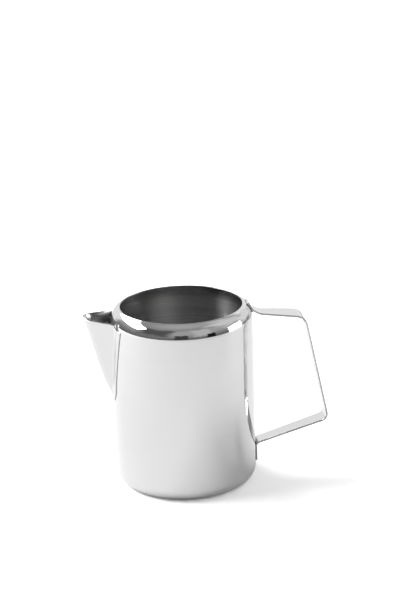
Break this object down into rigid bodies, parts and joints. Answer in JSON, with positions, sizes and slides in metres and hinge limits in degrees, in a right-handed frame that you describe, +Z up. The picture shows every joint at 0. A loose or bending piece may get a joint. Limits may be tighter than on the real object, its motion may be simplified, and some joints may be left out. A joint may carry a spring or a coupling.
{
  "type": "cream jug",
  "caption": "Small open cylindrical cream jug in polished sheet metal, with a rounded shoulder, a folded V spout and a bent strip handle.",
  "frame": {"origin": "on the axis of the round body, at the underside of its flat base", "axes": "+Z up along the body's axis, +X towards the handle, -X towards the spout, XZ is the plane of symmetry"},
  "size_m": [0.1288, 0.075, 0.0971],
  "materials": {
    "body": "mirror polished outside, satin brushed inside",
    "spout": "mirror polished outside, satin inside",
    "handle": "mirror polished, edges plain cut",
    "weld": "dull grey bead"
  },
  "bodies": {
    "root": {"body": "body", "spout": "spout", "spout_weld": "weld", "handle": "handle", "upper_tab_weld": "weld", "lower_tab_weld": "weld"}
  },
  "joints": []
}
